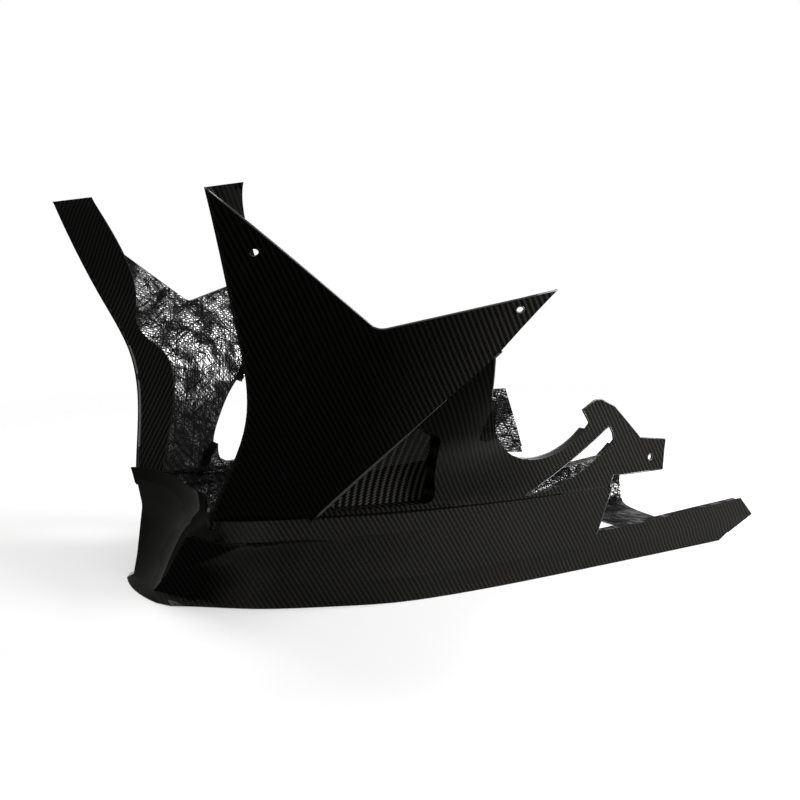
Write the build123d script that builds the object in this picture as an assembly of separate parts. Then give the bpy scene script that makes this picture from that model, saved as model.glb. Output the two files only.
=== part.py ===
from build123d import *
import os

# Sizes in millimetres. While it is drawn, x runs rearward from the front of the nose,
# w is the distance out from the middle plane, and z is the height above the floor.
wall = 2.0
hole_diameter = 5.5

# Wing panel: half width = wing_base + wing_yaw * x + wing_lean * z
wing_base = 49.3
wing_yaw = 0.364
wing_lean = 0.521
wing_end = 250.0
fold_tip = (-13.0, 303.3)
valley = (107.0, 212.0)
rear_tip = (212.0, 238.7)
wing_corner = (187.0, 192.0)
lip_foot = (92.0, 68.0)
arm_hole = (21.4, 264.2)
tip_hole = (192.2, 225.4)

# Tub
tub_top = 67.0
tub_rise = 4.8
tub_slope = 0.84
tub_end = 552.0
ridge_width = 130.0
chamfer_height = 20.0
chamfer_width = 4.5
nose_half_width = 24.0
shoulder_half_width = 92.0
shoulder_setback = 22.5
nose_hollow = 17.0
brow_height = 79.0

# Rear brackets, slit, notch, tails and floor, in the side view
hook_top = (353.0, 141.0)
tab_front = (399.0, 105.0)
tab_rear = (428.5, 101.0)
tab_foot = (389.0, 75.0)
tab_hole = (411.7, 87.0)
plate_top = (404.0, 122.0)
plate_foot = (424.0, 57.0)
tail_top = (528.0, 37.0)
far_tail_top = (516.0, 49.0)
tail_tip = (544.0, 20.5)
tail_foot = (506.0, 0.0)
far_tail_tip = (537.0, 28.0)
far_tail_foot = (535.0, 0.0)
side_flange = 8.0
slit_flange = 5.0
floor_opening_start = 362.0
floor_opening_end = 458.0
floor_opening_width = 136.0

# Pocket under the lip
pocket_depth = 14.0
pocket_round = 7.0


def wing_width(x, z):
    return wing_base + wing_yaw * x + wing_lean * z


def on_wing(x, z):
    return Vector(x, wing_width(x, z), z)


def at_height(outline, z):
    return Pos(0, 0, z) * make_face(outline)


def side_block(face, start=60, stop=330):
    # A side-view face pushed out sideways, from w = start to w = stop
    placed = Plane.XZ * face
    return Pos(0, stop, 0) * extrude(placed, stop - start)


# Tub: levels of the plan outline, joined by straight sides
def tub_level(z, corner, hollow, dip, front_side, rear, inset, lead=1):
    # A flat facet runs from the corner of the nose to the dip, and the side starts there.
    # Where the front wall slopes, the lead sets an inset front further back.
    front = corner[0] + lead * inset
    stations = (205.0, 314.0, 430.0, tub_end + 6 * inset)
    first = (front, corner[1] - 1.2 * lead * inset)
    side = [(dip[0] + 0.5 * lead * inset, dip[1] - lead * inset)]
    side += [(x, w - inset) for x, w in front_side]
    side += [(x, w - inset) for x, w in zip(stations, rear)]
    other = [(x, -w) for x, w in side]
    other_first = (front, -first[1])
    outline = ThreePointArc(other_first, (front + hollow, 0), first)
    outline += Line(first, side[0])
    outline += Spline(side)
    outline += Line(side[-1], other[-1])
    outline += Spline(other)
    outline += Line(other[0], other_first)
    return at_height(outline, z)


def tilted(level):
    # The ridge falls a little towards the rear
    return Pos(0, 0, tub_rise) * Rot(0, tub_slope, 0) * level


def tub(inset):
    r = ridge_width
    n = nose_half_width
    top = tub_top
    rear = (r, r - 9, r - 23, r - 39)
    keel = [w - chamfer_width for w in rear]
    toe_side = [(26, 66), (57, 88), (110, r - 20), (150, r - 8)]
    low_side = [(26, 63), (57, 87), (110, r - 18), (150, r - 6)]
    chamfer_side = [(26, 62.5), (57, 90), (110, r - 16), (150, r - 4)]
    dip_side = [(80, 110), (110, r - 12), (150, r - 3)]
    shelf_side = [(38, 99.5), (57, 107.5), (110, r - 9.5), (150, r - 2)]
    ridge_side = [(38, 103.5), (57, 110), (110, r - 8), (150, r - 2)]
    shoulder = (shoulder_setback, shoulder_half_width)
    ridge = tub_level(top - inset, shoulder, nose_hollow, (30, n + 75), ridge_side, rear, inset)
    levels = [
        tub_level(inset, (-1, n + 16), -5, (6, n + 29), toe_side, keel, inset, 3.5),
        tub_level(6, (1, n + 3), 2, (5, n + 9), low_side, keel, inset),
        tub_level(chamfer_height, (7.5, n + 14), 6, (10, n + 18), chamfer_side, rear, inset),
        tub_level(top - 15 + inset, (18, n + 33.5), 12, (50, n + 74), dip_side, rear, inset, 3),
        tub_level(top - 12 + inset, (19.5, n + 39), 14, (28, n + 66), shelf_side, rear, inset, 3),
        tilted(ridge),
    ]
    return loft(levels, ruled=True)


def brow():
    # The front wall carries on above the tub between the arms
    x = shoulder_setback
    w = shoulder_half_width
    base = tub_top - 1
    low = ThreePointArc((x, -w, base), (x + nose_hollow, 0, base), (x, w, base))
    z = brow_height
    ends = [(x - 2, -w - 5, z), (x - 2, w + 5, z)]
    high = Spline(ends[0], (x + 14, -45, z + 1), (x + 18, 0, z - 2), (x + 14, 45, z + 1), ends[1])
    face = Face.make_surface_from_curves(low.edge(), high.edge())
    rearward = 1 if face.normal_at(face.center()).X > 0 else -1
    return thicken(face, wall * rearward)


def bay():
    # The open top of the tub, inside the wings and flanks
    front = shoulder_setback + 2 * wall
    r = ridge_width
    side = [(front + 1, shoulder_half_width - 6), (57, r - 29), (85, r - 27), (150, r - 14)]
    side += [(205, r - 9), (262, r - 10.5), (340, r - 18), (432, r - 28), (tub_end + 20, r - 46)]
    other = [(x, -w) for x, w in side]
    outline = ThreePointArc(other[0], (front + nose_hollow, 0), side[0])
    outline += Spline(side)
    outline += Line(side[-1], other[-1])
    outline += Spline(other)
    return tilted(extrude(at_height(outline, tub_top - 2 * wall), 3 * wall))


def floor_opening():
    length = floor_opening_end - floor_opening_start
    face = RectangleRounded(length, floor_opening_width, 22)
    middle = (floor_opening_start + floor_opening_end) / 2
    return Pos(middle, 0, -1) * extrude(face, wall + 2)


# Flank: the smooth side above the ridge, from the tub out to the wing
def flank_level(z, widths, inset):
    # An inset block is longer at both ends, so that the shell stays open there
    stations = (85.0 - inset, 150.0, 205.0, 262.0, 340.0, 436.0 + inset)
    side = [(x, w - inset) for x, w in zip(stations, widths)]
    back = 60.0 - 3.0 * inset
    outline = Spline(side)
    outline += Polyline(side[-1], (side[-1][0], back), (side[0][0], back), side[0])
    return at_height(outline, z)


def flank_block(inset):
    r = ridge_width
    base = (r - 24, r - 11, r - 6.5, r - 8, r - 15.5, r - 25)
    levels = [
        flank_level(tub_top - wall - inset, base, inset),
        flank_level(85, (112, 123, 126.5, 124, 115, 105), inset),
        flank_level(115, (124, 141, 146, 130, 116, 106), inset),
        flank_level(150, (145, 168, 178, 142, 117, 107), inset),
        flank_level(205 + inset, (176, 206, 231, 180, 120, 108), inset),
    ]
    return loft(levels)


def pocket_face(grow):
    z = tub_top + 6
    corners = Polyline((102, z), (157, z + 67), (178, z + 55), (194, z), (102, z))
    face = fillet(make_face(corners).vertices(), pocket_round)
    if grow == 0:
        return face
    return offset(face, grow)


def flank_solid(inset, pocket):
    block = flank_block(inset)
    if not pocket:
        return block
    # The pocket floor follows the flank at the pocket depth
    recess = side_block(pocket_face(inset)) - flank_block(pocket_depth + inset)
    return block - recess


# Wing: one bent panel from the fold of the arm to the rear
def fold_line():
    points = [
        (shoulder_setback + 0.5, shoulder_half_width - 1, tub_top - 2),
        (31, 111, 105),
        (37.5, 131.5, 145),
        (35, 141.5, 172),
        (28, 152, 194),
        (16.5, 168, 222),
        (2, 187, 260),
        (-15, 203.6, 309),
    ]
    return Spline(points)


def free_line():
    # The return strip narrows at the knee of the arm and is widest at the top
    points = [
        (42, 80, tub_top - 2),
        (55, 98, 105),
        (66, 116, 145),
        (63, 126, 170),
        (44, 143, 194),
        (45, 152, 222),
        (35, 157, 260),
        (24.5, 167, 285),
        (17, 187, 309),
    ]
    return Spline(points)


def wing_face():
    rear = Line(on_wing(wing_end, tub_top - 2), on_wing(wing_end, 309))
    return Face.make_surface_from_curves(fold_line().edge(), rear.edge())


def inward(face):
    middle = face.normal_at(face.center())
    return -1 if middle.Y > 0 else 1


def lip_block(shift):
    # Everything below and behind the lip line, moved up by the shift
    along = Vector(wing_corner[0] - lip_foot[0], wing_corner[1] - lip_foot[1])
    up = Vector(-along.Y, along.X).normalized() * shift
    low = Vector(*lip_foot) + up - along * 0.2
    high = Vector(*lip_foot) + up + along * 2.0
    outline = Polyline(low, high, (500, high.Y), (500, low.Y), low)
    return side_block(make_face(outline), 30, 400)


def above_corner():
    z = wing_corner[1]
    return side_block(make_face(Polyline((0, z), (400, z), (400, 400), (0, 400), (0, z))))


def wing(flank):
    face = wing_face()
    panel = thicken(face, wall * inward(face)) - lip_block(0)
    deep = thicken(face, 45 * inward(face))
    lip = (deep & lip_block(wall)) - lip_block(0) - flank - above_corner()
    strip_face = Face.make_surface_from_curves(fold_line().edge(), free_line().edge())
    strip = thicken(strip_face, -wall * inward(strip_face))
    return panel + lip + strip


def half(pocket):
    inside = flank_solid(wall, pocket)
    flank = flank_solid(0, pocket) - inside
    return wing(inside) + (flank & lip_block(wall / 2))


# Edges of the openings in the side view
def side_cut_edge(end):
    return Spline((200, 162), (219, 141), (241, 117), (265, 102), (281, 98.5), (304, 100.5), end)


def slit_low_edge():
    return Spline((369, 106), (343, 87.5), (311, 74.5), (273, 69.5))


def tail_edge(top):
    return Polyline((349.5, 28.5), (360, 31), (412, 32), top)


def flange(path, block, deep_block):
    # A turned-in edge: a band along an opening that reaches in from the skin.
    # It stops a little short of the corners of the opening.
    edges = path.edges()
    edges[0] = edges[0].trim(0.04, 1)
    edges[-1] = edges[-1].trim(0, 0.96)
    band = side_block(trace(edges, 2 * wall))
    return band & (block - deep_block)


def flanges(bracket, top):
    flank = flank_block(0)
    parts = [flange(side_cut_edge(bracket[0]), flank, flank_block(side_flange))]
    parts += [flange(slit_low_edge(), flank, flank_block(slit_flange))]
    parts += [flange(tail_edge(top), tub(0), tub(side_flange))]
    return parts


# Side-view cuts
def top_cut():
    # Above the wing edge, leaving the return strip of the arm alone
    edge = FilletPolyline(fold_tip, valley, rear_tip, radius=12)
    frame = Polyline(rear_tip, (rear_tip[0], 400), (-60, 400), (-60, fold_tip[1]), fold_tip)
    block = side_block(make_face(edge + frame), 100)
    lean = 0.2
    tip_w = wing_width(*fold_tip)
    front = (-60, tip_w + lean * (60 + fold_tip[0]))
    rear = (valley[0], tip_w - lean * (valley[0] - fold_tip[0]))
    guard = make_face(Polyline((-60, 0), front, rear, (rear[0], 0), (-60, 0)))
    return block - Pos(0, 0, 150) * extrude(guard, 300)


def arm_cut():
    # The strip ends a little above the fold
    slope = 0.135
    low = fold_tip[1] - slope * 47
    high = fold_tip[1] + slope * 113
    face = make_face(Polyline((-60, low), (100, high), (100, 400), (-60, 400), (-60, low)))
    return side_block(face, 100)


def rear_cut(bracket):
    # Behind the wing, down round the flank and up over the bracket
    edge = Spline(rear_tip, (197.5, 213), wing_corner)
    edge += Line(wing_corner, (200, 162))
    edge += side_cut_edge(bracket[0])
    edge += Polyline(*bracket)
    end = bracket[-1]
    edge += Polyline(end, (tub_end + 60, end[1]), (tub_end + 60, 400), (rear_tip[0], 400), rear_tip)
    return side_block(make_face(edge))


def near_bracket():
    hook = [(341, 122.5), (333, 134), (hook_top[0] - 7, hook_top[1]), hook_top, (368, 134)]
    return hook + [tab_front, tab_rear, (tab_rear[0] - 2, tab_foot[1] - 4)]


def far_bracket():
    return [(336, plate_top[1] - 4), (344, plate_top[1]), plate_top, plate_foot]


def slit():
    edge = Spline((273, 69.5), (320, 92.5), (363, 118.5))
    edge += Polyline((363, 118.5), (367.5, 112), (369, 106))
    edge += slit_low_edge()
    return side_block(make_face(edge))


def notch(foot, top):
    rear = tub_end + 60
    edge = Spline((foot[0] - 19, foot[1] + 1.5), (361, 55), (349.5, 28.5))
    edge += tail_edge(top)
    edge += Polyline(top, (rear, top[1]), (rear, foot[1]), foot, (foot[0] - 19, foot[1] + 1.5))
    return side_block(make_face(edge))


def tail_cut(top, tip, foot):
    edge = Polyline(top, tip, foot, (foot[0], -10), (tub_end + 60, -10))
    edge += Polyline((tub_end + 60, -10), (tub_end + 60, top[1]), top)
    return side_block(make_face(edge))


def trailing_cut():
    # The rear edge of the floor sweeps back towards the far tail
    near_end = (tail_foot[0], -82)
    far_end = (far_tail_foot[0], 85)
    edge = Spline(near_end, (508, -50), (511, 0), (518, 54), far_end)
    edge += Polyline(far_end, (tub_end + 60, 85), (tub_end + 60, -82), near_end)
    return extrude(at_height(edge, -1), 12)


def far_opening():
    z = tub_top + 6.5
    front = [(106, z + 3.5), (105, 84), (109.5, 98), (117, 109.5), (126, 121.5), (137, 133), (150, 144)]
    edge = Spline(front)
    rest = [front[-1], (162, 152), (182, 132), (195, z), (112, z), front[0]]
    edge += FilletPolyline(*rest, radius=5)
    return side_block(make_face(edge))


def wing_hole(spot):
    normal = Vector(-wing_yaw, 1, -wing_lean)
    return Plane(on_wing(*spot), z_dir=normal) * Cylinder(hole_diameter / 2, 30)


def tab_bore():
    return Pos(tab_hole[0], -107, tab_hole[1]) * Rot(90, 0, 0) * Cylinder(hole_diameter / 2, 40)


def both(part):
    return [part, mirror(part, Plane.XZ)]


def near(part):
    return mirror(part, Plane.XZ)


def belly_pan():
    pan = tub(0) - tub(wall) - bay() - floor_opening() + brow()
    pan = pan + [near(half(True)), half(False)]
    pan = pan + [near(part) for part in flanges(near_bracket(), tail_top)]
    pan = pan + flanges(far_bracket(), far_tail_top)
    cuts = both(top_cut()) + both(arm_cut()) + both(slit())
    cuts += both(wing_hole(arm_hole)) + both(wing_hole(tip_hole))
    cuts += [near(notch(tab_foot, tail_top)), near(rear_cut(near_bracket()))]
    cuts += [notch(plate_foot, far_tail_top), rear_cut(far_bracket())]
    cuts += [near(tail_cut(tail_top, tail_tip, tail_foot))]
    cuts += [tail_cut(far_tail_top, far_tail_tip, far_tail_foot), trailing_cut()]
    cuts += [far_opening(), tab_bore()]
    return pan - cuts


middle = (fold_tip[0] + tail_tip[0]) / 2
os.makedirs("parts", exist_ok=True)
pan = Pos(-middle, 0, 0) * belly_pan()
print([round(s.volume) for s in pan.solids()], pan.bounding_box())
export_step(pan, "parts/belly_pan.step")
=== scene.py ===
import math
import bmesh
import bpy
from mathutils import Matrix, Vector


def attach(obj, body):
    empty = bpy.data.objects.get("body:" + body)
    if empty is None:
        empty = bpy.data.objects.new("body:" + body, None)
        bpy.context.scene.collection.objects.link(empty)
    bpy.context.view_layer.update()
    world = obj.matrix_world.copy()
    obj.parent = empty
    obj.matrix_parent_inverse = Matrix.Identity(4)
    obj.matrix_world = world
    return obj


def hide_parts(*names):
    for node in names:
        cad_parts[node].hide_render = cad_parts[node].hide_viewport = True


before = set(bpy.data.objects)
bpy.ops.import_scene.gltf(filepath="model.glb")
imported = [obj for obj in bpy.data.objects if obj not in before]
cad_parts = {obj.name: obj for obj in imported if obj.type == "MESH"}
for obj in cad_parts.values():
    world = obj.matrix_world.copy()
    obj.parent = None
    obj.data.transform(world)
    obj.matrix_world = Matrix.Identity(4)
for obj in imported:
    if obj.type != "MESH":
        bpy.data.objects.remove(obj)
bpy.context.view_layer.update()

# Viewpoint of the photograph, in metres
viewpoint = {
    "position": (-0.5295, -0.9252, 0.2763),
    "forward": (0.4652, 0.8750, -0.1338),
    "lens": 55.84,
    "sensor": 36.0,
}


def makeCamera():
    data = bpy.data.cameras.new("photoView")
    data.sensor_width = viewpoint["sensor"]
    data.sensor_fit = "HORIZONTAL"
    data.lens = viewpoint["lens"]
    camera = bpy.data.objects.new("photoView", data)
    camera.location = viewpoint["position"]
    camera.rotation_euler = Vector(viewpoint["forward"]).to_track_quat("-Z", "Y").to_euler()
    bpy.context.scene.collection.objects.link(camera)
    bpy.context.scene.camera = camera


# Helpers for node trees
def addNode(tree, kind, **values):
    node = tree.nodes.new(kind)
    for key, value in values.items():
        setattr(node, key, value)
    return node


def setInputs(node, values):
    for name, value in values.items():
        node.inputs[name].default_value = value


def opaque(colour):
    return (*colour, 1.0)


def newMaterial(name):
    material = bpy.data.materials.new(name)
    material.use_nodes = True
    material.node_tree.nodes.clear()
    return material


def newSurface(name, values):
    material = newMaterial(name)
    tree = material.node_tree
    out = addNode(tree, "ShaderNodeOutputMaterial")
    bsdf = addNode(tree, "ShaderNodeBsdfPrincipled")
    setInputs(bsdf, values)
    tree.links.new(bsdf.outputs[0], out.inputs[0])
    return material, tree, bsdf


def mathNode(tree, operation, first, second=None):
    node = addNode(tree, "ShaderNodeMath", operation=operation)
    for socket, value in zip(node.inputs, (first, second)):
        if value is None:
            continue
        if isinstance(value, (int, float)):
            socket.default_value = value
        else:
            tree.links.new(value, socket)
    return node.outputs[0]


def mixColour(tree, factor, first, second):
    node = addNode(tree, "ShaderNodeMix", data_type="RGBA")
    tree.links.new(factor, node.inputs[0])
    for socket, value in ((node.inputs[6], first), (node.inputs[7], second)):
        if isinstance(value, tuple):
            socket.default_value = opaque(value)
        else:
            tree.links.new(value, socket)
    return node.outputs[2]


def addNoise(tree, vector, scale, detail):
    noise = addNode(tree, "ShaderNodeTexNoise")
    setInputs(noise, {"Scale": scale, "Detail": detail})
    tree.links.new(vector, noise.inputs["Vector"])
    return noise.outputs[0]


def addRange(tree, value, low, high, least=0.0, most=1.0, curve="SMOOTHSTEP"):
    node = addNode(tree, "ShaderNodeMapRange", interpolation_type=curve)
    setInputs(node, {"From Min": low, "From Max": high, "To Min": least, "To Max": most})
    tree.links.new(value, node.inputs["Value"])
    return node.outputs[0]


def addBump(tree, height, strength, distance):
    bump = addNode(tree, "ShaderNodeBump")
    setInputs(bump, {"Strength": strength, "Distance": distance})
    tree.links.new(height, bump.inputs["Height"])
    return bump.outputs[0]


# Cloth of the laminate
cloth = {
    "towWidth": 0.00122,      # metres, one tow of the twill
    "pocketTow": 0.0019,
    "innerTow": 0.0024,       # the inside shows a coarser cloth
    "angles": {"front": 20.0, "side": 14.0, "floor": 0.0, "strip": 24.0, "pocket": 45.0},    # degrees
    "sideSlant": 0.3,         # share of the distance from the middle that lifts the cloth on a side
    "bowPower": 0.5,          # roundness of a tow across and along
    "risePower": 0.6,
    "streakLines": 9.0,
    "streakSteps": (3.7, 5.3),
    "streakDetail": 2.0,
}


# Two over, two under twill, with one unit of the cloth map to a tow
def makeTwillGroup():
    group = bpy.data.node_groups.new("twillCloth", "ShaderNodeTree")
    for name in ("Warp", "Height", "Streak"):
        group.interface.new_socket(name, in_out="OUTPUT", socket_type="NodeSocketFloat")
    out = addNode(group, "NodeGroupOutput")
    uv = addNode(group, "ShaderNodeUVMap", uv_map="clothMap")
    split = addNode(group, "ShaderNodeSeparateXYZ")
    group.links.new(uv.outputs[0], split.inputs[0])
    s, t = split.outputs[0], split.outputs[1]
    fs = mathNode(group, "FRACT", s)
    ft = mathNode(group, "FRACT", t)
    end = mathNode(group, "FLOOR", s)
    pick = mathNode(group, "FLOOR", t)
    step = mathNode(group, "FLOORED_MODULO", mathNode(group, "ADD", end, pick), 4.0)
    warp = mathNode(group, "LESS_THAN", step, 1.5)
    weftStep = mathNode(group, "SUBTRACT", step, 2.0)
    warpAlong = mathNode(group, "MULTIPLY", mathNode(group, "ADD", step, ft), 0.5)
    weftAlong = mathNode(group, "MULTIPLY", mathNode(group, "ADD", weftStep, fs), 0.5)
    across = addNode(group, "ShaderNodeMix", data_type="FLOAT")
    along = addNode(group, "ShaderNodeMix", data_type="FLOAT")
    for node, weftValue, warpValue in ((across, ft, fs), (along, weftAlong, warpAlong)):
        group.links.new(warp, node.inputs[0])
        group.links.new(weftValue, node.inputs[2])
        group.links.new(warpValue, node.inputs[3])
    bow = mathNode(group, "SINE", mathNode(group, "MULTIPLY", across.outputs[0], math.pi))
    rise = mathNode(group, "SINE", mathNode(group, "MULTIPLY", along.outputs[0], math.pi))
    bow = mathNode(group, "POWER", bow, cloth["bowPower"])
    rise = mathNode(group, "POWER", rise, cloth["risePower"])
    height = mathNode(group, "MULTIPLY", bow, rise)
    endStep, pickStep = cloth["streakSteps"]
    fine = mathNode(group, "MULTIPLY", across.outputs[0], cloth["streakLines"])
    endPart = mathNode(group, "MULTIPLY", end, endStep)
    pickPart = mathNode(group, "MULTIPLY", pick, pickStep)
    coarse = mathNode(group, "ADD", endPart, pickPart)
    streakMap = addNode(group, "ShaderNodeCombineXYZ")
    for socket, value in zip(streakMap.inputs, (fine, coarse, along.outputs[0])):
        group.links.new(value, socket)
    streak = addNoise(group, streakMap.outputs[0], 1.0, cloth["streakDetail"])
    for name, value in (("Warp", warp), ("Height", height), ("Streak", streak)):
        group.links.new(value, out.inputs[name])
    return group


# Mould side: cloth under a clear coat
gloss = {
    "warpColour": (0.0238, 0.0230, 0.0200),
    "weftColour": (0.0018, 0.0018, 0.0016),
    "meanColour": (0.0092, 0.0090, 0.0079),
    "gapColour": (0.0006, 0.0006, 0.0006),
    "streakLift": 0.5,
    "bump": (0.3, 0.0003),
    "surface": {
        "Roughness": 0.4,
        "Specular IOR Level": 0.0,
        "Coat Roughness": 0.02,
        "Coat IOR": 1.1,
    },
}


def glossTwill(twill):
    material, tree, bsdf = newSurface("glossTwill", gloss["surface"])
    weave = addNode(tree, "ShaderNodeGroup", node_tree=twill)
    clearness, shade, coat = [
        addNode(tree, "ShaderNodeAttribute", attribute_name=name).outputs["Fac"] for name in lookNames
    ]
    streak = mathNode(tree, "ADD", weave.outputs["Streak"], gloss["streakLift"])
    tone = mathNode(tree, "MULTIPLY", weave.outputs["Height"], streak)
    dark = mixColour(tree, tone, gloss["gapColour"], gloss["weftColour"])
    light = mixColour(tree, tone, gloss["gapColour"], gloss["warpColour"])
    pattern = mixColour(tree, weave.outputs["Warp"], dark, light)
    colour = mixColour(tree, clearness, gloss["meanColour"], pattern)
    # Painted light and shade: the cloth's colour is scaled by a lightness set per region
    shaded = addNode(tree, "ShaderNodeVectorMath", operation="SCALE")
    tree.links.new(colour, shaded.inputs[0])
    tree.links.new(shade, shaded.inputs["Scale"])
    tree.links.new(shaded.outputs[0], bsdf.inputs["Base Color"])
    tree.links.new(addBump(tree, weave.outputs["Height"], *gloss["bump"]), bsdf.inputs["Normal"])
    # Painted shade: less coat, and so less reflection, where the coat share is cut back
    tree.links.new(coat, bsdf.inputs["Coat Weight"])
    return material


# Inside: dry cloth under a wrinkled film of resin
film = {
    "wrinkleTurns": (18.0, 68.0, 112.0, 158.0),   # degrees, one family of wrinkles each
    "turnShares": (0.5, 1.0, 0.3),                # of that turn about each axis
    "wrinkleGap": (105.0, 140.0, 90.0, 170.0),    # wrinkles to a metre, about
    "wrinkleRun": 12.0,
    "wrinkleWidth": 0.034,
    "wrinkleDetail": 2.0,
    "patchScale": 52.0,
    "patchDetail": 4.0,
    "patchRange": (0.43, 0.55, 0.05),  # noise from dry to wet, and the least cover
    "weaveShare": 0.75,                # of the film follows the tows
    "topZone": (0.115, 0.165, 1.0),    # metres, and the share of film there; the thinner film lower down is painted shade
    "rearZone": (-0.05, 0.05, 0.45),
    "shadedFilmShare": 0.025,
    "warpColour": (0.006, 0.006, 0.0057),
    "weftColour": (0.0012, 0.0012, 0.0011),
    "wrinkleColour": (0.0012, 0.0012, 0.0012),
    "reliefShare": 0.5,
    "bump": (0.5, 0.0008),
    "surface": {
        "Roughness": 0.55,
        "Specular IOR Level": 0.01,
        "Coat Roughness": 0.09,
        "Coat IOR": 2.7,
    },
}


def addWrinkles(tree, place):
    # Product of the families: 0 in a wrinkle, 1 on the smooth film
    skin = None
    for turn, gap in zip(film["wrinkleTurns"], film["wrinkleGap"]):
        lay = addNode(tree, "ShaderNodeMapping", vector_type="TEXTURE")
        run = 1.0 / film["wrinkleRun"]
        rotation = [math.radians(turn * share) for share in film["turnShares"]]
        setInputs(lay, {"Rotation": rotation, "Scale": (1.0 / gap, run, run)})
        tree.links.new(place, lay.inputs["Vector"])
        noise = addNoise(tree, lay.outputs[0], 1.0, film["wrinkleDetail"])
        away = mathNode(tree, "ABSOLUTE", mathNode(tree, "SUBTRACT", noise, 0.5))
        line = addRange(tree, away, 0.0, film["wrinkleWidth"])
        skin = line if skin is None else mathNode(tree, "MULTIPLY", skin, line)
    return skin


def rawTwill(twill):
    material, tree, bsdf = newSurface("rawTwill", film["surface"])
    weave = addNode(tree, "ShaderNodeGroup", node_tree=twill)
    place = addNode(tree, "ShaderNodeTexCoord").outputs["Object"]
    skin = addWrinkles(tree, place)
    pool = addNoise(tree, place, film["patchScale"], film["patchDetail"])
    wet = addRange(tree, pool, *film["patchRange"], curve="LINEAR")
    raised = mathNode(tree, "MULTIPLY", weave.outputs["Height"], film["weaveShare"])
    raised = mathNode(tree, "ADD", raised, 1.0 - film["weaveShare"])
    cover = mathNode(tree, "MULTIPLY", mathNode(tree, "MULTIPLY", skin, wet), raised)
    spread = addNode(tree, "ShaderNodeSeparateXYZ")
    tree.links.new(place, spread.inputs[0])
    # Painted shade: the film, and so its reflection, thins towards the bottom and the front
    zones = [
        addRange(tree, spread.outputs[axis], low, high, film["shadedFilmShare"], most)
        for axis, (low, high, most) in (("Z", film["topZone"]), ("X", film["rearZone"]))
    ]
    cover = mathNode(tree, "MULTIPLY", cover, mathNode(tree, "MAXIMUM", *zones))
    tree.links.new(cover, bsdf.inputs["Coat Weight"])
    threads = mixColour(tree, weave.outputs["Warp"], film["weftColour"], film["warpColour"])
    colour = mixColour(tree, skin, film["wrinkleColour"], threads)
    tree.links.new(colour, bsdf.inputs["Base Color"])
    skinRelief = mathNode(tree, "MULTIPLY", skin, film["reliefShare"])
    towRelief = mathNode(tree, "MULTIPLY", weave.outputs["Height"], film["reliefShare"])
    relief = mathNode(tree, "ADD", mathNode(tree, "ADD", skinRelief, towRelief), pool)
    bump = addBump(tree, relief, *film["bump"])
    tree.links.new(bump, bsdf.inputs["Normal"])
    tree.links.new(bump, bsdf.inputs["Coat Normal"])
    return material


# Cut rims: sanded laminate sealed with resin
rim = {
    "plyScale": 420.0,
    "plyDetail": 3.0,
    "darkPly": (0.006, 0.006, 0.0055),
    "lightPly": (0.03, 0.029, 0.027),
    "bump": (0.25, 0.0002),
    "surface": {"Roughness": 0.28, "Specular IOR Level": 0.25},
}


def rimResin():
    material, tree, bsdf = newSurface("rimResin", rim["surface"])
    place = addNode(tree, "ShaderNodeTexCoord").outputs["Object"]
    plies = addNoise(tree, place, rim["plyScale"], rim["plyDetail"])
    tree.links.new(mixColour(tree, plies, rim["darkPly"], rim["lightPly"]), bsdf.inputs["Base Color"])
    tree.links.new(addBump(tree, plies, *rim["bump"]), bsdf.inputs["Normal"])
    return material


# Shell of the pan, taken from the solid, in metres and degrees
shell = {
    "node": "belly_pan",
    "slot": "laminate",
    "body": "root",
    "weld": 0.00002,
    "creaseAngle": 13.0,
    "noseAngle": 50.0,              # the level lines of the nose are rolled over
    "noseEnd": (-0.195, 0.07),
    "levelRise": 0.5,               # a line that rises less than this is level
    "rimWidth": 0.0027,             # a patch narrower than this is a cut rim
    "foldEnd": -0.17,               # the edges ahead of this are folded and coated
    "armStart": (-0.195, 0.085),    # the arms are ahead of this and above it
    "armTurn": 0.1,
    "stripStart": (-0.195, 0.083),
    "stripBack": (-0.2, 0.1),
    "toeEnd": -0.2,
    "toeSlope": -0.3,
    "pocketRange": ((-0.17, -0.068), (-1.0, -0.09), (0.068, 0.143)),
    "pocketCentre": (-0.105, -0.14, 0.1),
    "pocketArea": 0.008,            # square metres, the most that a patch of the pocket has
    "ledge": (0.064, 0.072),        # heights of the ledge behind the ridge
    "ledgeFront": -0.14,
    "ledgeSlope": 0.9,
    "spine": ((-0.165, 0.20), 0.10),    # line inside the pan that the mould side faces away from
    "wingLean": -0.2,
    "wingHeight": 0.12,
}


def within(value, limits):
    return limits[0] < value < limits[1]


def isStrip(point, normal):
    # Return strips on the arms, seen from the front
    front, low = shell["stripStart"]
    return point.x < front and point.z > low and normal.y * point.y < 0


def isPocket(point):
    return all(within(value, limits) for value, limits in zip(point, shell["pocketRange"]))


def isLedge(height):
    return within(height, shell["ledge"])


def outwardSign(point, normal):
    # Positive on the mould side, negative inside the pan
    x, y, z = point
    if x < shell["armStart"][0] and z > shell["armStart"][1]:
        facesIn = normal.y * (1.0 if y > 0 else -1.0) < 0
        outward = normal.x < (0 if facesIn else shell["armTurn"])
    elif x < shell["toeEnd"]:
        outward = normal.x < 0 or normal.z < shell["toeSlope"]
    elif x > shell["ledgeFront"] and isLedge(z) and abs(normal.z) > shell["ledgeSlope"]:
        outward = normal.z > 0
    elif isPocket(point):
        outward = normal.dot(Vector(shell["pocketCentre"]) - Vector(point)) > 0
    else:
        (front, rear), height = shell["spine"]
        spine = Vector((min(max(x, front), rear), 0.0, height))
        outward = normal.dot(Vector(point) - spine) > 0
    return 1.0 if outward else -1.0


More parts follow.
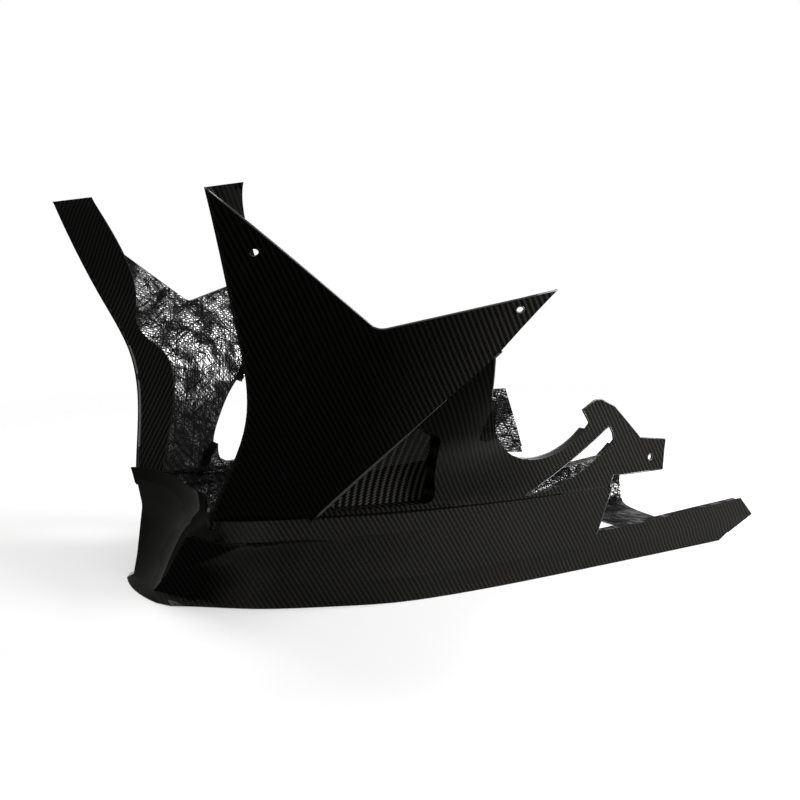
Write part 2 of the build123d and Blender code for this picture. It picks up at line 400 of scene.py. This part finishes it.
def findPatches(bm):
    # Faces that join smoothly, parted by creases
    taken = set()
    patches = []
    for first in bm.faces:
        if first.index in taken:
            continue
        faces = []
        stack = [first]
        taken.add(first.index)
        while stack:
            face = stack.pop()
            faces.append(face)
            for edge in face.edges:
                if not edge.smooth:
                    continue
                for other in edge.link_faces:
                    if other.index not in taken:
                        taken.add(other.index)
                        stack.append(other)
        patches.append(faces)
    return patches


def describePatch(faces):
    area = sum(face.calc_area() for face in faces)
    border = sum(edge.calc_length() for face in faces for edge in face.edges if not edge.smooth)
    lean = Vector((0.0, 0.0, 0.0))
    normal = Vector((0.0, 0.0, 0.0))
    centre = Vector((0.0, 0.0, 0.0))
    vote = 0.0
    for face in faces:
        size = face.calc_area()
        lean += Vector([abs(c) for c in face.normal]) * size
        normal += face.normal * size
        centre += face.calc_center_median() * size
        vote += outwardSign(face.calc_center_median(), face.normal) * size
    centre /= max(area, 1e-12)
    width = 2.0 * area / border if border > 0 else 1.0
    kind = "rim" if width < shell["rimWidth"] else ("gloss" if vote > 0 else "raw")
    backEnd, backLow = shell["stripBack"]
    folded = kind == "rim" and centre.x < shell["foldEnd"]
    stripBack = kind == "raw" and centre.x < backEnd and centre.z > backLow
    if folded or stripBack:
        kind = "gloss"
    axis = max(range(3), key=lambda i: lean[i])
    region = ("front", "side", "floor")[axis]
    if region == "side" and isStrip(centre, normal):
        region = "strip"
    elif isPocket(centre) and area < shell["pocketArea"]:
        region = "pocket"
    return {"kind": kind, "axis": axis, "region": region, "centre": centre, "normal": normal}


def isWing(facts):
    # Outer face of a wing, which leans out over the tub
    leansOut = facts["normal"].normalized().z < shell["wingLean"]
    return facts["axis"] == 1 and leansOut and facts["centre"].z > shell["wingHeight"]


def ramp(value, low, high):
    share = min(max((value - low) / (high - low), 0.0), 1.0)
    return share * share * (3.0 - 2.0 * share)


def blend(first, second, share):
    return first + (second - first) * share


# Clearness of the tows, painted light and shade as lightness of the cloth, and cover of clear coat cut
# back as painted shade, by region
lookNames = ("clothTone", "paintedLightShade", "coatShareAsShade")
look = {
    # Painted light on the pocket floor; painted shade on the strips, the pocket walls and the ledge
    "strip": (1.0, 0.6, 1.0),
    "pocketFloor": (1.0, 1.9, 1.0),
    "pocketWall": (1.0, 0.7, 1.0),
    "ledge": (0.6, 0.35, 1.0),
    # Painted shade: the front of the nose has little coat
    "noseFront": (0.15, 1.0, 0.25),
    "noseFrontEnd": -0.2,
    # Painted shade: the front of a wing is dark and thinly coated
    "wing": (0.85, 0.24, 0.3),
    "wingPaintedLight": 4.4,                # painted light: lightness gained from the front of a wing to its rear
    "wingRun": (-0.16, 0.05),
    "bodyTones": (0.8, 0.6),        # above the ridge and below it
    "ridgeRun": (0.066, 0.072),
    "noseSide": (0.35, 1.5),        # clearness, and painted light on the sides of the nose
    "noseSideRun": (0.19, 0.215),
    "noseTopRun": (0.07, 0.08),
    "facetRun": (0.56, 0.72),       # turn of the facet by the nose that gets painted shade
    "dark": (0.85, 0.4, 0.3),       # painted shade on that facet and the upper flank
    "crownRun": (0.112, 0.130),
    "crownRear": (0.06, 0.03),      # rear end and length of the fade there
    # Painted shade on the flank below the wing
    "flankShade": 0.6,
    "flankRun": (0.07, 0.075),
    "flankRear": (0.05, 0.06),
}


def rearFade(x, ends):
    return ramp(ends[0] - x, 0.0, ends[1])


def surfaceLook(facts, point, normal):
    # The three values at one corner of a face: clearness, painted light and shade, and coat share
    if facts["region"] == "pocket":
        return look["pocketFloor"] if facts["axis"] == 1 else look["pocketWall"]
    if facts["region"] == "strip":
        return look["strip"]
    if facts["axis"] == 2 and isLedge(facts["centre"].z):
        return look["ledge"]
    if facts["axis"] == 0 and facts["centre"].x < look["noseFrontEnd"]:
        return look["noseFront"]
    if isWing(facts):
        tone, light, coat = look["wing"]
        return tone, light + look["wingPaintedLight"] * ramp(point.x, *look["wingRun"]), coat
    # Painted light on the sides of the nose; painted shade on the facet by the nose, the crown and the
    # upper flank
    side = ramp(-point.x, *look["noseSideRun"]) * (1.0 - ramp(point.z, *look["noseTopRun"]))
    facet = side * ramp(-normal.x, *look["facetRun"])
    crown = ramp(point.z, *look["crownRun"]) * rearFade(point.x, look["crownRear"])
    flank = ramp(point.z, *look["flankRun"]) * rearFade(point.x, look["flankRear"])
    dark = max(facet, crown)
    sideTone, sideLight = look["noseSide"]
    darkTone, darkLight, darkCoat = look["dark"]
    tone = blend(*look["bodyTones"], 1.0 - ramp(point.z, *look["ridgeRun"]))
    light = blend(1.0, sideLight, side) * blend(1.0, look["flankShade"], flank)
    return (
        blend(blend(tone, sideTone, side), darkTone, dark),
        blend(light, darkLight, dark),
        blend(1.0, darkCoat, dark),
    )


def keepNormals(bm, source):
    # The solid's own normals, kept while the seams between its faces are closed
    layer = bm.loops.layers.float_vector.new("cadNormal")
    normals = source.corner_normals
    for face, polygon in zip(bm.faces, source.polygons):
        for loop, index in zip(face.loops, polygon.loop_indices):
            loop[layer] = normals[index].vector
    return layer


def markCreases(bm, layer):
    noseEnd, noseTop = shell["noseEnd"]
    for edge in bm.edges:
        edge.smooth = len(edge.link_faces) == 2
        if not edge.smooth:
            continue
        middle = (edge.verts[0].co + edge.verts[1].co) / 2
        along = (edge.verts[1].co - edge.verts[0].co).normalized()
        rolled = middle.x < noseEnd and middle.z < noseTop and abs(along.z) < shell["levelRise"]
        limit = math.cos(math.radians(shell["noseAngle"] if rolled else shell["creaseAngle"]))
        for vert in edge.verts:
            loops = [loop for face in edge.link_faces for loop in face.loops if loop.vert == vert]
            first, second = [loop[layer] for loop in loops]
            if first.dot(second) < limit:
                edge.smooth = False


def blendNormals(bm, layer):
    # Faces that meet smoothly share one normal, with an equal say for each face of the solid
    for vert in bm.verts:
        loops = {loop.face.index: loop for loop in vert.link_loops}
        while loops:
            group = []
            stack = [next(iter(loops))]
            while stack:
                loop = loops.pop(stack.pop(), None)
                if loop is None:
                    continue
                group.append(loop)
                for edge in vert.link_edges:
                    if edge.smooth and loop.face in edge.link_faces:
                        stack += [face.index for face in edge.link_faces]
            kinds = {tuple(round(c, 2) for c in loop[layer]): loop[layer].copy() for loop in group}
            mean = sum(kinds.values(), Vector((0.0, 0.0, 0.0)))
            if len(kinds) > 1 and mean.length > 1e-6:
                for loop in group:
                    loop[layer] = mean.normalized()


def towOf(facts):
    if facts["kind"] == "raw":
        return cloth["innerTow"]
    return cloth["pocketTow"] if facts["region"] == "pocket" else cloth["towWidth"]


def clothSpot(facts, point):
    # Place on the cloth before it is turned
    x, y, z = point
    if facts["region"] == "strip":
        level = Vector((facts["normal"].y, -facts["normal"].x)).normalized()
        return Vector((level.x * x + level.y * y, z))
    return Vector(((y, z), (x, z + cloth["sideSlant"] * abs(y)), (x, y))[facts["axis"]])


def dressPatch(faces, facts, layer, clothMap, looks):
    slotOf = {"gloss": 0, "raw": 1, "rim": 2}
    turn = Matrix.Rotation(math.radians(cloth["angles"][facts["region"]]), 2)
    for face in faces:
        face.material_index = slotOf[facts["kind"]]
        for loop in face.loops:
            loop[clothMap].uv = turn @ clothSpot(facts, loop.vert.co) / towOf(facts)
            for lookLayer, value in zip(looks, surfaceLook(facts, loop.vert.co, loop[layer])):
                loop[lookLayer] = value


def buildShell(materials):
    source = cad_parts[shell["node"]].data
    mesh = source.copy()
    mesh.name = "panShell"
    mesh.materials.clear()
    for material in materials:
        mesh.materials.append(material)
    bm = bmesh.new()
    bm.from_mesh(mesh)
    layer = keepNormals(bm, source)
    bmesh.ops.remove_doubles(bm, verts=bm.verts, dist=shell["weld"])
    bmesh.ops.dissolve_degenerate(bm, edges=bm.edges, dist=shell["weld"])
    bm.normal_update()
    bm.faces.index_update()
    for face in bm.faces:
        face.smooth = True
    markCreases(bm, layer)
    blendNormals(bm, layer)
    clothMap = bm.loops.layers.uv.new("clothMap")
    looks = [bm.loops.layers.float.new(name) for name in lookNames]
    patches = findPatches(bm)
    kindOf = {}
    wingFaces = set()
    for faces in patches:
        facts = describePatch(faces)
        dressPatch(faces, facts, layer, clothMap, looks)
        kindOf.update((face.index, facts["kind"]) for face in faces)
        if isWing(facts):
            wingFaces.update(face.index for face in faces)
    rolls = {edge: edgeRoll(edge, kindOf, wingFaces) for edge in bm.edges}
    runs = [
        (radius, chainEdges([edge for edge in rolls if rolls[edge] == radius])) for radius in bead["radii"]
    ]
    bm.to_mesh(mesh)
    bm.free()
    mesh.normals_split_custom_set([entry.vector for entry in mesh.attributes["cadNormal"].data])
    mesh.attributes.remove(mesh.attributes["cadNormal"])
    piece = bpy.data.objects.new("panShell", mesh)
    bpy.context.scene.collection.objects.link(piece)
    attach(piece, shell["body"])
    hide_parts(shell["node"])
    print("shell:", len(mesh.polygons), "faces in", len(patches), "patches")
    return runs


# Rounded resin along the cut edges and the lips, in metres
bead = {
    "radii": (0.0006, 0.0013),         # fine and wide
    "lipLine": (0.223, 0.59),          # height of a line over the lip, and its slope
    "lipEnds": (-0.17, -0.03),
    "lipFade": (-0.15, -0.1, 0.15),    # from, to, and the share of the radius left there
    "groundGap": 0.004,
    "sides": 8,
    "cornerAngle": 0.9,                # radians
    "shortest": 1e-5,
    "body": "root",
    "node": "belly_pan",
    "slot": "laminate",
    "surface": {
        "Base Color": (0.007, 0.0068, 0.006, 1.0),
        "Roughness": 0.3,
        "Specular IOR Level": 0.0,
        "Coat Weight": 1.0,
        "Coat IOR": 1.42,
        "Coat Roughness": 0.03,
    },
}


def edgeRoll(edge, kindOf, wingFaces):
    # Radius of the bead on an edge: wide on the lip under a wing, fine on cut edges clear of the ground
    fine, wide = bead["radii"]
    if edge.smooth or len(edge.link_faces) != 2:
        return 0.0
    middle = (edge.verts[0].co + edge.verts[1].co) / 2
    bordersWing = sum(face.index in wingFaces for face in edge.link_faces) == 1
    lipTop = bead["lipLine"][0] + bead["lipLine"][1] * middle.x
    onLip = within(middle.x, bead["lipEnds"]) and middle.z < lipTop
    if bordersWing and edge.is_convex and onLip:
        return wide
    kinds = {kindOf[face.index] for face in edge.link_faces}
    clear = min(vert.co.z for vert in edge.verts) > bead["groundGap"]
    return fine if kinds == {"gloss", "rim"} and clear else 0.0


def chainEdges(edges):
    # Runs of edges, parted at corners
    touching = {}
    for edge in edges:
        for vert in edge.verts:
            touching.setdefault(vert.index, []).append(edge)
    left = {edge.index: edge for edge in edges}
    chains = []
    while left:
        start = next(iter(left.values()))
        del left[start.index]
        run = list(start.verts)
        for _ in range(2):
            growing = True
            while growing:
                growing = False
                for edge in touching[run[-1].index]:
                    if edge.index not in left or len(touching[run[-1].index]) != 2:
                        continue
                    following = edge.other_vert(run[-1])
                    turn = (run[-1].co - run[-2].co).angle(following.co - run[-1].co, 0.0)
                    if turn < bead["cornerAngle"]:
                        del left[edge.index]
                        run.append(following)
                        growing = True
                        break
            run.reverse()
        chains.append([vert.co.copy() for vert in run])
    return chains


def beadSize(radius, x):
    if radius != bead["radii"][1]:
        return radius
    start, end, least = bead["lipFade"]
    return radius * blend(1.0, least, ramp(x, start, end))


def addTube(points, radius, verts, faces):
    sides = bead["sides"]
    across = None
    for index, point in enumerate(points):
        ahead = points[min(index + 1, len(points) - 1)] - points[max(index - 1, 0)]
        ahead.normalize()
        seed = across
        if seed is None:
            seed = Vector((0, 0, 1)) if abs(ahead.z) < 0.9 else Vector((1, 0, 0))
        across = (seed - ahead * seed.dot(ahead)).normalized()
        other = ahead.cross(across)
        first = len(verts)
        size = beadSize(radius, point.x)
        for step in range(sides):
            turn = 2.0 * math.pi * step / sides
            verts.append(point + (across * math.cos(turn) + other * math.sin(turn)) * size)
        if index == 0:
            faces.append(tuple(range(first + sides - 1, first - 1, -1)))
            continue
        for step in range(sides):
            after = (step + 1) % sides
            faces.append((first - sides + step, first - sides + after, first + after, first + step))
    faces.append(tuple(range(len(verts) - sides, len(verts))))


def buildBeads(runs):
    verts = []
    faces = []
    for radius, chains in runs:
        for chain in chains:
            steps = zip(chain, chain[1:])
            points = [chain[0]] + [b for a, b in steps if (b - a).length > bead["shortest"]]
            if len(points) > 1:
                addTube(points, radius, verts, faces)
    mesh = bpy.data.meshes.new("edgeBeads")
    mesh.from_pydata(verts, [], faces)
    for polygon in mesh.polygons:
        polygon.use_smooth = len(polygon.vertices) == 4
    mesh.materials.append(newSurface("beadResin", bead["surface"])[0])
    piece = bpy.data.objects.new("edgeBeads", mesh)
    bpy.context.scene.collection.objects.link(piece)
    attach(piece, bead["body"])
    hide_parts(bead["node"])
    print("beads:", len(mesh.polygons), "faces on", [len(chains) for _, chains in runs], "runs of edge")


# Studio: pale floor, white surroundings and soft lamps
studio = {
    "floorRadius": 3.0,
    "floorSegments": 96,
    "floorDrop": 0.0005,
    "floorFade": (0.5, 1.3),
    "floorColour": (0.42, 0.42, 0.418),
    "floorGlow": 0.5,         # share of the floor's white that no shadow takes away
    "floorBounce": (0.08, 0.08, 0.0795),
    "worldColour": (1.0, 1.0, 1.0),
    "worldFill": 0.06,
}

softboxes = {
    "keySoftbox": {
        "position": (1.15, -0.46, 1.05), "aim": (0.0, 0.05, 0.15), "size": (0.4, 0.4), "power": 12.0,
    },
    "topSoftbox": {
        "position": (0.1, 0.6, 1.45), "aim": (0.0, 0.0, 0.1), "size": (1.2, 1.0), "power": 24.0,
    },
    "frontSoftbox": {
        "position": (0.80, -0.75, 0.35), "aim": (0.12, -0.1, 0.05), "size": (0.9, 0.35), "power": 30.0,
    },
    "fillSoftbox": {
        "position": (-0.90, -1.60, 0.50), "aim": (-0.05, -0.1, 0.08), "size": (1.0, 0.6), "power": 10.0,
    },
    "leftSoftbox": {
        "position": (-1.0, 1.4, 0.7), "aim": (-0.24, 0.0, 0.05), "size": (1.0, 1.0), "power": 1.5,
    },
}


def seenMask(tree):
    path = addNode(tree, "ShaderNodeLightPath")
    seen = mathNode(tree, "MAXIMUM", path.outputs["Is Camera Ray"], path.outputs["Is Glossy Ray"])
    return mathNode(tree, "MAXIMUM", seen, path.outputs["Is Transmission Ray"])


def mixShader(tree, factor, first, second):
    node = addNode(tree, "ShaderNodeMixShader")
    for socket, value in zip(node.inputs, (factor, first, second)):
        tree.links.new(value, socket)
    return node.outputs[0]


def paleFloor():
    material = newMaterial("paleFloor")
    tree = material.node_tree
    out = addNode(tree, "ShaderNodeOutputMaterial")
    lit = addNode(tree, "ShaderNodeBsdfDiffuse")
    setInputs(lit, {"Color": opaque(studio["floorColour"])})
    glow = addNode(tree, "ShaderNodeEmission")
    setInputs(glow, {"Strength": studio["floorGlow"]})
    shown = addNode(tree, "ShaderNodeAddShader")
    tree.links.new(lit.outputs[0], shown.inputs[0])
    tree.links.new(glow.outputs[0], shown.inputs[1])
    bounce = addNode(tree, "ShaderNodeBsdfDiffuse")
    setInputs(bounce, {"Color": opaque(studio["floorBounce"])})
    pick = mixShader(tree, seenMask(tree), bounce.outputs[0], shown.outputs[0])
    clear = addNode(tree, "ShaderNodeBsdfTransparent")
    place = addNode(tree, "ShaderNodeTexCoord")
    far = addNode(tree, "ShaderNodeVectorMath", operation="LENGTH")
    tree.links.new(place.outputs["Object"], far.inputs[0])
    fade = addRange(tree, far.outputs["Value"], *studio["floorFade"])
    tree.links.new(mixShader(tree, fade, pick, clear.outputs[0]), out.inputs[0])
    return material


def makeFloor():
    mesh = bpy.data.meshes.new("floor")
    bm = bmesh.new()
    segments, radius = studio["floorSegments"], studio["floorRadius"]
    bmesh.ops.create_circle(bm, cap_ends=True, segments=segments, radius=radius)
    bm.to_mesh(mesh)
    bm.free()
    mesh.materials.append(paleFloor())
    floor = bpy.data.objects.new("floor", mesh)
    floor.location.z = -studio["floorDrop"]
    bpy.context.scene.collection.objects.link(floor)


def makeWorld():
    world = bpy.data.worlds.new("studio")
    bpy.context.scene.world = world
    world.use_nodes = True
    tree = world.node_tree
    tree.nodes.clear()
    out = addNode(tree, "ShaderNodeOutputWorld")
    shown = addNode(tree, "ShaderNodeBackground")
    setInputs(shown, {"Color": opaque(studio["worldColour"])})
    fill = addNode(tree, "ShaderNodeBackground")
    setInputs(fill, {"Color": opaque(studio["worldColour"]), "Strength": studio["worldFill"]})
    mixed = mixShader(tree, seenMask(tree), fill.outputs[0], shown.outputs[0])
    tree.links.new(mixed, out.inputs[0])


def addSoftbox(name, position, aim, size, power):
    data = bpy.data.lights.new(name, "AREA")
    data.shape = "RECTANGLE"
    data.size, data.size_y = size
    data.energy = power
    lamp = bpy.data.objects.new(name, data)
    lamp.location = position
    lamp.rotation_euler = (Vector(aim) - Vector(position)).to_track_quat("-Z", "Y").to_euler()
    bpy.context.scene.collection.objects.link(lamp)


makeCamera()
makeFloor()
makeWorld()
for name, values in softboxes.items():
    addSoftbox(name, **values)
print("studio ready")

twillGroup = makeTwillGroup()
edgeRuns = buildShell([glossTwill(twillGroup), rawTwill(twillGroup), rimResin()])
buildBeads(edgeRuns)

bpy.context.scene.view_settings.view_transform = "Standard"
